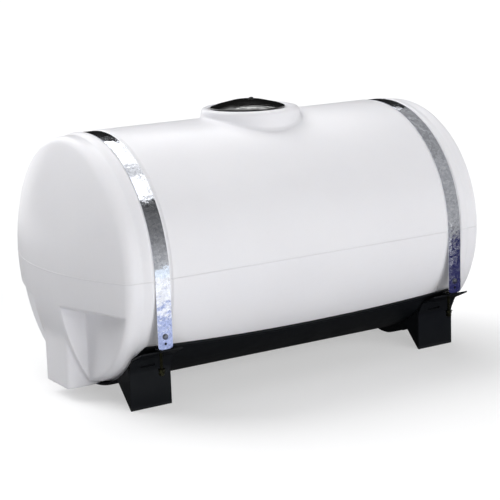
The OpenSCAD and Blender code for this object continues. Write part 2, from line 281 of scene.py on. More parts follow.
def grain_group():
    """Height of a moulded or painted surface: soft waves and fine grain, both in metres."""
    first = {"Wave Size": 0.08, "Wave Height": 0.0003, "Grain Size": 0.0015, "Grain Height": 0.00001}
    g, takes, gives = new_group("grain", first, ["Height"])
    where = add(g, "TexCoord").outputs["Object"]
    heights = []
    for kind, detail in (("Wave", 1.0), ("Grain", 2.0)):
        shape = noise(g, where, calc(g, "DIVIDE", 1.0, takes[kind + " Size"]), detail)
        heights.append(calc(g, "MULTIPLY", shape.outputs[0], takes[kind + " Height"]))
    g.links.new(calc(g, "ADD", *heights), gives["Height"])
    return g


def dust_group():
    """Dust that settles on faces that look up, broken by patches."""
    g, takes, gives = new_group("dust", {"Amount": 0.3, "Size": 0.05}, ["Dust"])
    where = add(g, "TexCoord").outputs
    split = add(g, "SeparateXYZ", Vector=where["Normal"])
    up = add(g, "MapRange", Value=split.outputs["Z"], From_Min=-0.2, From_Max=0.9)
    cloud = noise(g, where["Object"], calc(g, "DIVIDE", 1.0, takes["Size"]), 6.0, 0.65)
    broken = calc(g, "MULTIPLY", up.outputs[0], ramp(g, cloud.outputs[0], (0.35, 0.0), (0.75, 1.0)))
    g.links.new(calc(g, "MULTIPLY", broken, takes["Amount"]), gives["Dust"])
    return g


def spangle_group():
    """Crystal flakes of a zinc coat, large ones with small ones over them."""
    g, takes, gives = new_group("spangle", {"Flake Size": 0.008, "Ripple": 0.0004}, ["Flake", "Height"])
    where = add(g, "TexCoord").outputs["Object"]
    warp = noise(g, where, 90.0, 2.0)
    bend = add(g, "VectorMath", {"operation": "SCALE"}, i0=warp.outputs["Color"], Scale=0.006)
    moved = add(g, "VectorMath", {"operation": "ADD"}, i0=where, i1=bend.outputs[0])
    tones = []
    for per_metre, channel in ((calc(g, "DIVIDE", 1.0, takes["Flake Size"]), 0), (420.0, 1)):
        flakes = add(g, "TexVoronoi", Vector=moved.outputs[0], Scale=per_metre)
        tones.append(add(g, "SeparateColor", i0=flakes.outputs["Color"]).outputs[channel])
    flake = add(g, "Mix", {"data_type": "FLOAT"}, Factor=0.4, i2=tones[0], i3=tones[1]).outputs[0]
    ripple = calc(g, "MULTIPLY", noise(g, where, 34.0, 2.0).outputs[0], takes["Ripple"])
    g.links.new(flake, gives["Flake"])
    g.links.new(calc(g, "MULTIPLY_ADD", flake, 0.00003, ripple), gives["Height"])
    return g


PATCHES, GRAIN, DUST, SPANGLE = patch_group(), grain_group(), dust_group(), spangle_group()


def new_finish(name, **shader):
    finish = bpy.data.materials.new(name)
    finish.use_nodes = True
    coat = finish.node_tree.nodes["Principled BSDF"]
    for key, value in shader.items():
        coat.inputs[key.replace("_", " ")].default_value = value
    return finish, finish.node_tree


def use(tree, group, **values):
    """A group's outputs, with its inputs set by name."""
    node = tree.nodes.new("ShaderNodeGroup")
    node.node_tree = group
    for key, value in values.items():
        node.inputs[key.replace("_", " ")].default_value = value
    return node.outputs


def tint(tree, fac, low, high):
    """Colour between low, which may be a socket, and high."""
    low = (*low, 1) if isinstance(low, tuple) else low
    return add(tree, "Mix", {"data_type": "RGBA"}, Factor=fac, i6=low, i7=(*high, 1)).outputs[2]


def coat_with(tree, base, marks, smooth, dull, height):
    """Colour, roughness that runs from smooth to dull with the marks, and relief."""
    coat = tree.nodes["Principled BSDF"].inputs
    sheen = add(tree, "MapRange", Value=marks, To_Min=smooth, To_Max=dull)
    relief = add(tree, "Bump", Height=height, Strength=1.0, Distance=1.0)
    tree.links.new(base, coat["Base Color"])
    tree.links.new(sheen.outputs[0], coat["Roughness"])
    tree.links.new(relief.outputs[0], coat["Normal"])


def white_poly(name, low, high):
    """Satin moulding with cloudy patches and faint specks."""
    finish, tree = new_finish(name, IOR=1.5, Specular_IOR_Level=0.22, Subsurface_Weight=0.12,
                              Subsurface_Radius=(1.0, 0.9, 0.8), Subsurface_Scale=0.012)
    marks = use(tree, PATCHES, Size=0.35, Speck_Size=0.006)
    grain = use(tree, GRAIN, Wave_Size=0.16, Wave_Height=0.0012, Grain_Size=0.004, Grain_Height=0.00002)
    clean = tint(tree, marks["Patches"], low, high)
    base = tint(tree, calc(tree, "MULTIPLY", marks["Specks"], 0.05), clean, (0.55, 0.53, 0.54))
    coat_with(tree, base, marks["Patches"], 0.28, 0.32, grain["Height"])
    return finish


def gloss_black():
    """Glossy moulding with a little dust on top."""
    finish, tree = new_finish("gloss_black_plastic", IOR=1.5, Specular_IOR_Level=0.8)
    marks = use(tree, PATCHES, Size=0.05, Speck_Size=0.0025)
    dust = use(tree, DUST, Amount=0.02, Size=0.02)
    grain = use(tree, GRAIN, Wave_Size=0.04, Wave_Height=0.0002, Grain_Size=0.001, Grain_Height=0.00001)
    base = tint(tree, dust["Dust"], (0.004, 0.004, 0.004), (0.1, 0.1, 0.1))
    coat_with(tree, base, marks["Patches"], 0.07, 0.12, grain["Height"])
    return finish


def galvanised():
    """Bright zinc strip whose flakes differ in shade and gloss."""
    finish, tree = new_finish("galvanised_strip", Metallic=1.0)
    flakes = use(tree, SPANGLE, Flake_Size=0.009, Ripple=0.0012)
    base = tint(tree, flakes["Flake"], (0.56, 0.58, 0.64), (0.86, 0.88, 0.93))
    coat_with(tree, base, flakes["Flake"], 0.06, 0.17, flakes["Height"])
    return finish


def plated(name, low, high):
    finish, tree = new_finish(name, Metallic=1.0)
    marks = use(tree, PATCHES, Size=0.012, Speck_Size=0.002)
    grain = use(tree, GRAIN, Wave_Size=0.01, Wave_Height=0.00008, Grain_Size=0.001, Grain_Height=0.00001)
    base = tint(tree, marks["Patches"], low, high)
    coat_with(tree, base, marks["Patches"], 0.25, 0.42, grain["Height"])
    return finish


def black_enamel():
    """Half-gloss paint on sheet steel, dusty on its upper faces."""
    finish, tree = new_finish("black_enamel", IOR=1.5, Specular_IOR_Level=0.12)
    marks = use(tree, PATCHES, Size=0.09, Speck_Size=0.003)
    dust = use(tree, DUST, Amount=0.07, Size=0.06)
    grain = use(tree, GRAIN, Wave_Size=0.03, Wave_Height=0.0002, Grain_Size=0.0015, Grain_Height=0.00004)
    base = tint(tree, dust["Dust"], (0.0065, 0.0075, 0.009), (0.12, 0.115, 0.11))
    coat_with(tree, base, marks["Patches"], 0.36, 0.5, grain["Height"])
    return finish


SLOTS = {
    "tank_plastic": white_poly("white_polyethylene", (0.815, 0.812, 0.842), (0.842, 0.84, 0.868)),
    "lid_plastic": gloss_black(),
    "galvanised_steel": galvanised(),
    # Bolt zinc darkened well below its plated colour: painted shade
    "zinc_bolt": plated("bright_zinc_with_painted_shade", (0.16, 0.165, 0.18), (0.34, 0.35, 0.38)),
    # Yellow zinc darkened to a dim olive: painted shade of the legs' shadow over the studs, nuts and
    # washers
    "yellow_zinc": plated("yellow_zinc", (0.018, 0.018, 0.009), (0.045, 0.043, 0.022)),
    "black_paint": black_enamel(),
}
# Darker copy of the white moulding for the mould line: painted shade along the raised line
seam_poly_painted_shade = white_poly("white_polyethylene_seam_painted_shade", (0.77, 0.765, 0.795), (0.8, 0.795, 0.82))
node_slot = {s["node"]: s["material_slot"] for s in frame["record"]["subparts"]}
for name, node in frame["nodes"].items():
    node.data.materials.clear()
    node.data.materials.append(SLOTS[node_slot[name]])


# --- Tank barrel ------------
def step_rings(x_main, x_seat, lo, hi, n=6):
    """Soft step from one inset to another."""
    out = []
    for i in range(n + 1):
        t = i / n
        out.append((x_main + (x_seat - x_main) * t, lo + (hi - lo) * t * t * (3 - 2 * t), 1.0))
    return out


def barrel_rings():
    """Plain middle, a seat under each band with a lip outside it, and a long fall to the ends."""
    half = [(0.0, 0.0, 1.0), (MAIN_HALF * 0.5, 0.0, 1.0)]
    half += step_rings(MAIN_HALF - 7 * MM, MAIN_HALF + 2 * MM, 0.0, SEAT_STEP)
    half += [(BAND_X, SEAT_STEP, 1.0)]
    lip = BAND_X + BAND_W / 2
    half += step_rings(lip + 1.5 * MM, lip + 6 * MM, SEAT_STEP, LIP_STEP)
    half += step_rings(lip + 10 * MM, HALF_L - 16 * MM, LIP_STEP, END_STEP + 0.4 * MM, 12)
    return [(-x, i, s) for x, i, s in reversed(half[1:])] + half


def make_barrel():
    bm = bmesh.new()
    loft_tank(bm, barrel_rings())
    add_piece("tank_barrel", bm, "tank_plastic", "barrel_upper", "barrel_lower", sharp=60)


def dome_rings(back):
    """Right end from its seat, which reaches back under the barrel, to the middle of its crown."""
    rings = [(SEAT_END - back, END_STEP, 1.0), (SEAT_END, END_STEP, 1.0)]
    for i in range(KNUCKLE_RINGS + 1):
        a = math.radians(90) - (math.radians(90) - CROWN_A) * i / KNUCKLE_RINGS
        rings.append((HALF_L + KNUCKLE_R * math.cos(a), END_STEP,
                      (END_R - KNUCKLE_R + KNUCKLE_R * math.sin(a)) / END_R))
    for i in range(1, CROWN_RINGS):
        a = CROWN_A * (1 - i / CROWN_RINGS)
        rings.append((CROWN_X + CROWN_R * math.cos(a), END_STEP, CROWN_R * math.sin(a) / END_R))
    rings.append((CROWN_X + CROWN_R, END_STEP, 0.004))
    return rings


def make_right_end():
    bm = bmesh.new()
    loft_tank(bm, dome_rings(8 * MM))
    add_piece("tank_right_end", bm, "tank_plastic", "right_end_cap", sharp=60)


# --- Drain end --------------
sump_lo, sump_hi = box("drain_sump")
SUMP_FACE = -sump_lo.x
SUMP_HALF = sump_hi.y
SUMP_LOW = sump_lo.z
SUMP_TOP = AXIS - 150 * MM
SUMP_HALF_DEEP = 60 * MM
SUMP_EDGE = 14 * MM
RECESS_X = HALF_L + 31 * MM
RECESS_Y = 100 * MM
RECESS_Z = AXIS - 143 * MM
RECESS_TILT = Matrix.Rotation(math.radians(22), 3, "Y") @ Matrix.Rotation(math.radians(-7), 3, "X")
RECESS_UP = np.array(RECESS_TILT @ Vector((0, 0, 1)))


def soft_max(a, b, k):
    """The larger of two, blended where they differ by less than k."""
    h = np.maximum(k - np.abs(a - b), 0.0) / k
    return np.maximum(a, b) + h * h * k * 0.25


def soft_min(a, b, k):
    return -soft_max(-a, -b, k)


def dome_distance(p):
    """How far points lie outside the plain domed end, which faces -X."""
    x, y, z = -p[:, 0], np.abs(p[:, 1]), p[:, 2] - AXIS
    up = np.hypot(y, z)
    lower = TANK_D - END_STEP
    low = END_R * ((y / END_R) ** CORNER + (np.abs(z) / lower) ** CORNER) ** (1 / CORNER)
    rho = np.where(z >= 0, up, low)
    dx, dr = x - CROWN_X, rho
    crown = np.hypot(dx, dr) - CROWN_R
    knuckle = np.hypot(x - HALF_L, rho - (END_R - KNUCKLE_R)) - KNUCKLE_R
    side = rho - END_R
    d = np.where(x > HALF_L, knuckle, side)
    return np.where((np.arctan2(dr, dx) < CROWN_A) & (x > HALF_L * 0.9), crown, d)


def recess_distance(p):
    """How far points lie outside the room for a fitting."""
    y = np.abs(p[:, 1])
    q = np.stack([p[:, 0] + RECESS_X, -y + RECESS_Y, p[:, 2] - RECESS_Z], axis=1)
    roof = q @ RECESS_UP
    d = soft_max(q[:, 0], q[:, 1], 3 * MM)
    return soft_max(d, roof, 2.5 * MM)


def sump_distance(p):
    """How far points lie outside the sump, a block with round upright edges."""
    qx = np.abs(p[:, 0] + SUMP_FACE - SUMP_HALF_DEEP) - SUMP_HALF_DEEP + SUMP_EDGE
    qy = np.abs(p[:, 1]) - SUMP_HALF + SUMP_EDGE
    corner = np.hypot(np.maximum(qx, 0), np.maximum(qy, 0))
    plan = corner + np.minimum(np.maximum(qx, qy), 0) - SUMP_EDGE
    standing = soft_max(plan, SUMP_LOW - p[:, 2], 6 * MM)
    return soft_max(standing, p[:, 2] - SUMP_TOP, 4 * MM)


def end_distance(p):
    """How far points lie outside the finished drain end."""
    d = soft_max(dome_distance(p), -recess_distance(p), 3.5 * MM)
    return soft_min(d, sump_distance(p), 6 * MM)


def settle(mesh, distance, free, rounds=6):
    """Moves a mesh's points on to the surface where distance is nought."""
    n = len(mesh.vertices)
    p = np.empty(n * 3)
    mesh.vertices.foreach_get("co", p)
    p = p.reshape(n, 3)
    move = free(p)
    e = 0.05 * MM
    for _ in range(rounds):
        q = p[move]
        d = distance(q)
        g = np.stack([(distance(q + e * a) - distance(q - e * a)) / (2 * e) for a in np.eye(3)], axis=1)
        g2 = np.maximum((g * g).sum(axis=1), 0.2)
        p[move] = q - np.clip(d / g2, -4 * MM, 4 * MM)[:, None] * g
    mesh.vertices.foreach_set("co", p.reshape(-1))
    mesh.update()


def cut_with(piece, tool, operation):
    cut = piece.modifiers.new("cut", "BOOLEAN")
    cut.operation = operation
    cut.solver = "EXACT"
    cut.object = tool


def baked(obj):
    deps = bpy.context.evaluated_depsgraph_get()
    return bpy.data.meshes.new_from_object(obj.evaluated_get(deps))


def block_at(centre, size):
    """A plain block as a bmesh."""
    bm = bmesh.new()
    bmesh.ops.create_cube(bm, size=1.0, matrix=Matrix.Translation(centre) @ Matrix.Diagonal((*size, 1)))
    return bm


def sump_blank():
    x0, x1 = -SUMP_FACE, -HALF_L - 10 * MM
    bm = block_at(((x0 + x1) / 2, 0, (SUMP_LOW + SUMP_TOP) / 2),
                  (x1 - x0, 2 * SUMP_HALF, SUMP_TOP - SUMP_LOW))
    return new_object("sump_blank", mesh_from(bm, "sump_blank"))


def recess_blank(side):
    """Block below the recess's sloping roof; side is -1 in front and 1 at the back."""
    wide, deep, tall = 400 * MM, 300 * MM, 600 * MM
    bm = block_at((-RECESS_X - deep / 2, side * (RECESS_Y + wide / 2), RECESS_Z - 100 * MM),
                  (deep, wide, tall))
    roof = Vector(RECESS_UP)
    roof.y *= -side
    bmesh.ops.bisect_plane(bm, geom=bm.verts[:] + bm.edges[:] + bm.faces[:],
                           plane_co=(-RECESS_X, side * RECESS_Y, RECESS_Z), plane_no=roof, clear_outer=True)
    bmesh.ops.contextual_create(bm, geom=[e for e in bm.edges if e.is_boundary])
    bmesh.ops.recalc_face_normals(bm, faces=bm.faces[:])
    return new_object("recess_blank", mesh_from(bm, "recess_blank"))


def make_left_end():
    """Dome joined to the sump and cut by both recesses, then drawn on to their blended surface."""
    bm = bmesh.new()
    loft_tank(bm, [(-x, inset, scale) for x, inset, scale in dome_rings(8 * MM)])
    bmesh.ops.recalc_face_normals(bm, faces=bm.faces[:])
    blank = new_object("end_blank", mesh_from(bm, "end_blank"))
    sump = sump_blank()
    recesses = [recess_blank(side) for side in (-1, 1)]
    cut_with(blank, sump, "UNION")
    for recess in recesses:
        cut_with(blank, recess, "DIFFERENCE")
    grid = blank.modifiers.new("grid", "REMESH")
    grid.mode = "VOXEL"
    grid.voxel_size = 4 * MM
    end = baked(blank)
    for used in [sump, *recesses, blank]:
        bpy.data.objects.remove(used)
    settle(end, end_distance, lambda p: p[:, 0] < -SEAT_END + 4 * MM)
    dress("tank_drain_end", end, "tank_plastic", "left_end_cap", "drain_sump")


make_barrel()
make_right_end()
make_left_end()


# --- Fill collar ------------
collar_lo, collar_hi = box("fill_collar")
FILL_X = (collar_lo.x + collar_hi.x) / 2
COLLAR_TOP = collar_hi.z
rim_lo, rim_hi = box("lid_rim")
LID_R = (rim_hi.x - rim_lo.x) / 2
LID_TOP = rim_hi.z
boss_lo, boss_hi = box("lid_boss")
BOSS_R = (boss_hi.x - boss_lo.x) / 2
BOSS_TOP = boss_hi.z
FILL_R = 118 * MM
WALL_R = 164.5 * MM
WALL_LEAN = 0.12
WALL_RINGS = 6
FOOT_RINGS = 8
RIM_RISE = 6 * MM
RIM_SHIFT = 9 * MM


def barrel_top(y):
    return AXIS + math.sqrt(max(TANK_R ** 2 - y * y, 0.0))


def collar_line():
    """Half section of the neck and its raised rim, down to the top of the wall."""
    crest = COLLAR_TOP + RIM_RISE
    line = steps_from(FILL_R, COLLAR_TOP, (0, -22), (0, -2), (2, 0))
    line += steps_from(LID_R, COLLAR_TOP, (1, 0), (4, 1.2), (8, 3.8))
    line += steps_from(LID_R, crest, (13, -0.6))
    line += steps_from(WALL_R, crest, (-20, 0), (-15, -0.5))
    return line + arc(WALL_R - 15 * MM, crest - 15.5 * MM, 15 * MM, 75, 10, 7)


def wall_out(down, edge):
    return WALL_R + WALL_LEAN * (down - edge)


def wall_depth(turn, edge):
    """How far below the collar's top its leaning wall meets the barrel."""
    lo, hi = edge, 90 * MM
    for _ in range(30):
        mid = (lo + hi) / 2
        if COLLAR_TOP - mid > barrel_top(wall_out(mid, edge) * math.sin(turn)):
            lo = mid
        else:
            hi = mid
    return lo


def wall_point(turn, ring, edge):
    """Radius and height of one ring of the wall, whose last rings are the fillet at its foot."""
    down = wall_depth(turn, edge)
    fillet = min(11 * MM, max(2 * MM, (down - edge) * 0.4))
    if ring < WALL_RINGS:
        s = edge + (down - fillet - edge) * (ring + 1) / WALL_RINGS
        return wall_out(s, edge), COLLAR_TOP - s
    t = (ring - WALL_RINGS + 1) / FOOT_RINGS
    a = t * math.pi / 2
    r = wall_out(down - fillet, edge) + fillet * 1.3 * (1 - math.cos(a))
    return r, barrel_top(r * math.sin(turn)) + fillet * (1 - math.sin(a)) - 0.6 * MM * t


def make_collar():
    """Neck with a soft raised rim; its outer part stands a little to one side of the fill hole."""
    line = collar_line()
    edge = COLLAR_TOP - line[-1][1]
    fixed = len(line)
    line += [(WALL_R + i * MM, COLLAR_TOP - edge - i * MM) for i in range(1, WALL_RINGS + FOOT_RINGS + 1)]
    bm = bmesh.new()
    ring = bm.verts.layers.int.new("ring")
    c = Vector((FILL_X, 0, 0))
    verts, edges = chain(bm, [c + Vector((r, 0, h)) for r, h in line])
    for i, v in enumerate(verts):
        v[ring] = i
    spin(bm, verts + edges, 160, c)
    for v in bm.verts:
        if v[ring] >= fixed:
            turn = math.atan2(v.co.y, v.co.x - FILL_X)
            r, high = wall_point(turn, v[ring] - fixed, edge)
            v.co = (FILL_X + r * math.cos(turn), r * math.sin(turn), high)
        r = math.hypot(v.co.x - FILL_X, v.co.y)
        v.co.x += RIM_SHIFT * min(1.0, max(0.0, (r - LID_R) / (WALL_R - LID_R)))
    add_piece("fill_collar_ring", bm, "tank_plastic", "fill_collar", sharp=70)


# --- Lid --------------------
SLOPE_R = LID_R - 21 * MM
SLOPE_Z = COLLAR_TOP + 14.6 * MM
FLAT_R = 38 * MM
FLAT_Z = BOSS_TOP - 5 * MM
CONE_FALL = (FLAT_Z - SLOPE_Z) / (SLOPE_R - FLAT_R)
NUB_SUNK = 2 * MM


def cone(r):
    return FLAT_Z - CONE_FALL * (r - FLAT_R)


def on_cone(*radii):
    return [(r, cone(r)) for r in radii]


def lid_turned(line):
    """Half section (radius, height) turned about the lid's axis."""
    bm = bmesh.new()
    c = Vector((FILL_X, 0, 0))
    verts, edges = chain(bm, [c + Vector((r, 0, z)) for r, z in line])
    spin(bm, verts + edges, 144, c)
    bmesh.ops.remove_doubles(bm, verts=bm.verts[:], dist=1e-6)
    return bm


def make_lid_rim():
    """Sloped grip ring, with the skirt that screws into the neck."""
    line = steps_from(BOSS_R, cone(BOSS_R), (-6, -4), (-0.2, -0.3), (0.3, 0))
    line += on_cone(BOSS_R + 1.3 * MM, SLOPE_R - 2 * MM)
    line += steps_from(SLOPE_R, SLOPE_Z, (1, -0.6))
    line += steps_from(LID_R, COLLAR_TOP, (-4, 8.6), (-1.2, 7.2), (0, 5.4), (0, 1.5), (-1, 0.2))
    line += steps_from(FILL_R, COLLAR_TOP, (-3, 0.2), (-3, -20), (-7, -20))
    add_piece("lid_screw_rim", lid_turned(line), "lid_plastic", "lid_rim", sharp=50)


def make_lid_boss():
    """Low cone with a flat top, and a small vent nub on it."""
    line = steps_from(BOSS_R, LID_TOP, (0, -8)) + steps_from(BOSS_R, cone(BOSS_R), (0, -0.2), (-0.4, 0))
    line += on_cone(BOSS_R - 1.4 * MM, 80 * MM, 66 * MM, 54 * MM)
    line += steps_from(0, cone(47 * MM), (47, -0.3))
    line += steps_from(0, FLAT_Z, (38, -1.1), (28, -0.3), (14, 0), (0, 0))
    bm = lid_turned(line)
    nub_tall = BOSS_TOP - FLAT_Z + NUB_SUNK
    foot = Matrix.Translation((FILL_X + 15 * MM, 0, FLAT_Z - NUB_SUNK))
    nub = bmesh.ops.create_cone(bm, cap_ends=True, segments=36, radius1=8.5 * MM, radius2=7 * MM,
                                depth=nub_tall, matrix=foot)["verts"]
    bmesh.ops.translate(bm, vec=(0, 0, nub_tall / 2), verts=nub)
    top = [e for e in loose_edges(nub) if all(v.co.z > BOSS_TOP - 1 * MM for v in e.verts)]
    round_off(bm, top, 1.5 * MM, 3)
    add_piece("lid_domed_boss", bm, "lid_plastic", "lid_boss", sharp=60)


make_collar()
make_lid_rim()
make_lid_boss()


# --- Mould line -------------
def make_mould_line():
    """Fine raised line where the halves of the mould met, all round the tank."""
    side = [(x, (TANK_R - inset) * s) for x, inset, s in barrel_rings() if 0 <= x < HALF_L - 17 * MM]
    side += [(x, (TANK_R - inset) * s) for x, inset, s in dome_rings(0.0)[2:-1]]
    loop = [(x, -y) for x, y in side] + [(CROWN_X + CROWN_R, 0.0)] + side[::-1]
    loop += [(-x, y) for x, y in side[1:]] + [(-CROWN_X - CROWN_R, 0.0)]
    loop += [(-x, -y) for x, y in reversed(side[1:])]
    curve = bpy.data.curves.new("mould_line", "CURVE")
    curve.dimensions = "3D"
    curve.bevel_depth = 2.2 * MM
    curve.bevel_resolution = 2
    line = curve.splines.new("POLY")
    line.points.add(len(loop) - 1)
    for p, (x, y) in zip(line.points, loop):
        shrink = 1 - 1.2 * MM / max(math.hypot(x, y), 0.1)
        p.co = (x * shrink, y * shrink, AXIS, 1)
    line.use_cyclic_u = True
    curve.materials.append(seam_poly_painted_shade)
    piece = new_object("mould_line", curve)
    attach(piece, "root")


make_mould_line()


# --- Sheet and strip --------
def mapped_grid(bm, across_n, along_n, place):
    """Grid whose points (u, v), from -1 to 1, are carried to place(u, v)."""
    for v in bmesh.ops.create_grid(bm, x_segments=across_n, y_segments=along_n, size=1.0)["verts"]:
        v.co = place(v.co.x, v.co.y)


def face_out(piece, outward):
    """Turns an open sheet's faces to the outer side."""
    bm = bmesh.new()
    bm.from_mesh(piece.data)
    bm.normal_update()
    bm.faces.ensure_lookup_table()
    f = bm.faces[len(bm.faces) // 2]
    if f.normal.dot(outward(f.calc_center_median())) < 0:
        bmesh.ops.reverse_faces(bm, faces=bm.faces[:])
    bm.to_mesh(piece.data)
    bm.free()


def thicken(piece, thickness, offset=-1.0):
    wall = piece.modifiers.new("wall", "SOLIDIFY")
    wall.thickness = thickness
    wall.offset = offset
    wall.use_even_offset = True


def soften(piece, edge):
    bevel = piece.modifiers.new("soft_edge", "BEVEL")
    bevel.width = edge
    bevel.segments = 2
    bevel.limit_method = "ANGLE"
    bevel.angle_limit = math.radians(35)
    bevel.harden_normals = True


def settle_modifiers(piece):
    mesh = baked(piece)
    piece.modifiers.clear()
    piece.data = mesh
    mesh.name = piece.name


# --- Bands ------------------
BOLT_Z = AXIS - 175 * MM
SPARE_Z = BOLT_Z - 22 * MM
BOLT_HOLE_R = 4.3 * MM


def punch(piece, holes):
    """Cuts holes (centre, axis, radius, depth); a fifth number makes one that much longer."""
    bm = bmesh.new()
    for centre, axis, radius, depth, *longer in holes:
        place = Matrix.Translation(centre) @ Vector(axis).to_track_quat("Z", "Y").to_matrix().to_4x4()
        if not longer:
            bmesh.ops.create_cone(bm, cap_ends=True, segments=28, radius1=radius, radius2=radius,
                                  depth=depth, matrix=place)
            continue
        window = place @ Matrix.Diagonal((2 * radius * longer[0], 2 * radius, depth, 1))
        made = bmesh.ops.create_cube(bm, size=1.0, matrix=window)["verts"]
        upright = [e for e in loose_edges(made) if abs(e.calc_length() - depth) < 1e-6]
        round_off(bm, upright, 4 * MM, 4)
    tool = new_object("punch", mesh_from(bm, "punch"))
    cut_with(piece, tool, "DIFFERENCE")
    settle_modifiers(piece)
    bpy.data.objects.remove(tool)


def make_band(name, x):
    """Strip over the barrel and straight down both sides, a little wavy, with rounded ends."""
    lo, hi = box(name)
    inner = hi.y - BAND_T
    drop = AXIS - lo.z
    half_turn = math.pi * inner / 2
    length = half_turn + drop
    corner = 10 * MM

    def place(u, v):
        s = abs(v) * length
        side = 1 if v >= 0 else -1
        end = length - s
        half = BAND_W / 2
        if end < corner:
            half -= corner - math.sqrt(max(corner ** 2 - (corner - end) ** 2, 0.0))
        # A slow and a quick wave, which die out towards the strip's end
        wave = 0.18 * MM * math.sin(s * 23.0 + side) + 0.12 * MM * math.sin(s * 61.0 + 2.0 * side * u)
        wave *= min(1.0, end / (60 * MM))
        r = inner + 0.35 * MM + wave + 0.25 * MM * (1 - u * u)
        if s < half_turn:
            a = math.pi / 2 - s / inner
            return Vector((x + u * half, side * r * math.cos(a), AXIS + r * math.sin(a)))
        return Vector((x + u * half, side * r, AXIS - (s - half_turn)))

    bm = bmesh.new()
    mapped_grid(bm, 6, 560, place)
    piece = add_piece(name + "_strip", bm, "galvanised_steel", name, sharp=40)
    thicken(piece, BAND_T - 0.4 * MM, 1.0)
    places = [(x, s * inner, z) for s in (-1, 1) for z in (BOLT_Z, SPARE_Z)]
    punch(piece, [(place, (0, 1, 0), BOLT_HOLE_R, 30 * MM) for place in places])
    soften(piece, 0.5 * MM)


make_band("left_band", -BAND_X)
make_band("right_band", BAND_X)


# --- Band fixings -----------
def corners_of_four():
    return [(x, s) for x in (-BAND_X, BAND_X) for s in (-1, 1)]


def up(z):
    return Matrix.Translation((0, 0, z))


def hexagon(bm, matrix, flats, height, cut=0.12):
    """Nut or bolt head that stands on matrix, with its corners turned off."""
    r = flats / 2 / math.cos(math.radians(30))
    made = bmesh.ops.create_cone(bm, cap_ends=True, segments=6, radius1=r, radius2=r, depth=height,
                                 matrix=matrix @ up(height / 2))["verts"]
    rims = [e for e in loose_edges(made) if abs(e.calc_length() - r) < r * 0.05]
    round_off(bm, rims, cut * height, 2, clamp=True)


def turned(bm, line, matrix, steps):
    """Profile (radius, height) turned about the Z axis of matrix."""
    verts, edges = chain(bm, [(r, 0, z) for r, z in line])
    spin(bm, verts + edges, steps)
    reach = set()
    stack = list(verts)
    while stack:
        v = stack.pop()
        if v not in reach:
            reach.add(v)
            stack += [e.other_vert(v) for e in v.link_edges]
    bmesh.ops.transform(bm, matrix=matrix, verts=list(reach))


def rod(r, low, high, pitch, chamfer):
    """Threaded rod's profile from low to high."""
    line = [(0, low), (r - chamfer, low), (r, low + chamfer)]
    z = low + chamfer
    while z + pitch < high:
        line += [(r, z + 0.2 * pitch), (r * 0.9, z + 0.5 * pitch), (r, z + 0.8 * pitch)]
        z += pitch
    return line + [(r, high), (0, high)]


WASHER_T = 1.5 * MM
BOLT_FLATS = 13 * MM


def make_bolts():
    """Bolt, washer and nut at each end of each band, each head turned its own way."""
    bm = bmesh.new()
    out = BAND_R - 0.1 * MM
    washer = [(BOLT_HOLE_R, 0)] + steps_from(0, 0, (9.2, 0), (9.4, 0.3), (9.4, 1.2))
    washer += [(9 * MM, WASHER_T), (BOLT_HOLE_R, WASHER_T)]
    for x, s in corners_of_four():
        place = Matrix.Translation((x, s * out, BOLT_Z)) @ Matrix.Rotation(math.radians(-90 * s), 4, "X")
        place @= Matrix.Rotation(math.radians(17 if x < 0 else 41), 4, "Z")
        turned(bm, washer, place, 36)
        hexagon(bm, place @ up(WASHER_T), BOLT_FLATS, 4 * MM)
        turned(bm, rod(4 * MM, -30 * MM, 1 * MM, 1.25 * MM, 0.6 * MM), place, 24)
        hexagon(bm, place @ up(-16 * MM), BOLT_FLATS, 6 * MM)
    bmesh.ops.remove_doubles(bm, verts=bm.verts[:], dist=1e-6)
    add_piece("hex_bolts", bm, "zinc_bolt", "band_bolts", sharp=30)


stud_lo, stud_hi = box("tie_studs")
nut_lo, nut_hi = box("stud_nuts")
washer_lo, washer_hi = box("stud_washers")
STUD_R = 5 * MM
CLIP_FOOT = 44 * MM
STUD_Y = stud_hi.y - CLIP_FOOT + STUD_R + 8 * MM
CLIP_TOP = stud_hi.z
CLIP_LOW = AXIS - 224 * MM
CLIP_W = 28 * MM
CLIP_T = 4 * MM


def make_clips():
    """Angle clips behind the band's ends, each with its bend rounded."""
    bm = bmesh.new()
    for x, s in corners_of_four():
        face = stud_hi.y * s
        line = [(face, CLIP_TOP), (face, CLIP_LOW), (face - s * CLIP_FOOT, CLIP_LOW)]
        verts, edges = chain(bm, [(x - CLIP_W / 2, y, z) for y, z in line])
        far = sweep_edges(bm, edges, (CLIP_W, 0, 0))
        bend = [e for e in verts[1].link_edges if e.other_vert(verts[1]) in far]
        round_off(bm, bend, 6 * MM, 5)
    clips = add_piece("angle_clips", bm, "black_paint", sharp=30)
    thicken(clips, CLIP_T)
    soften(clips, 0.6 * MM)


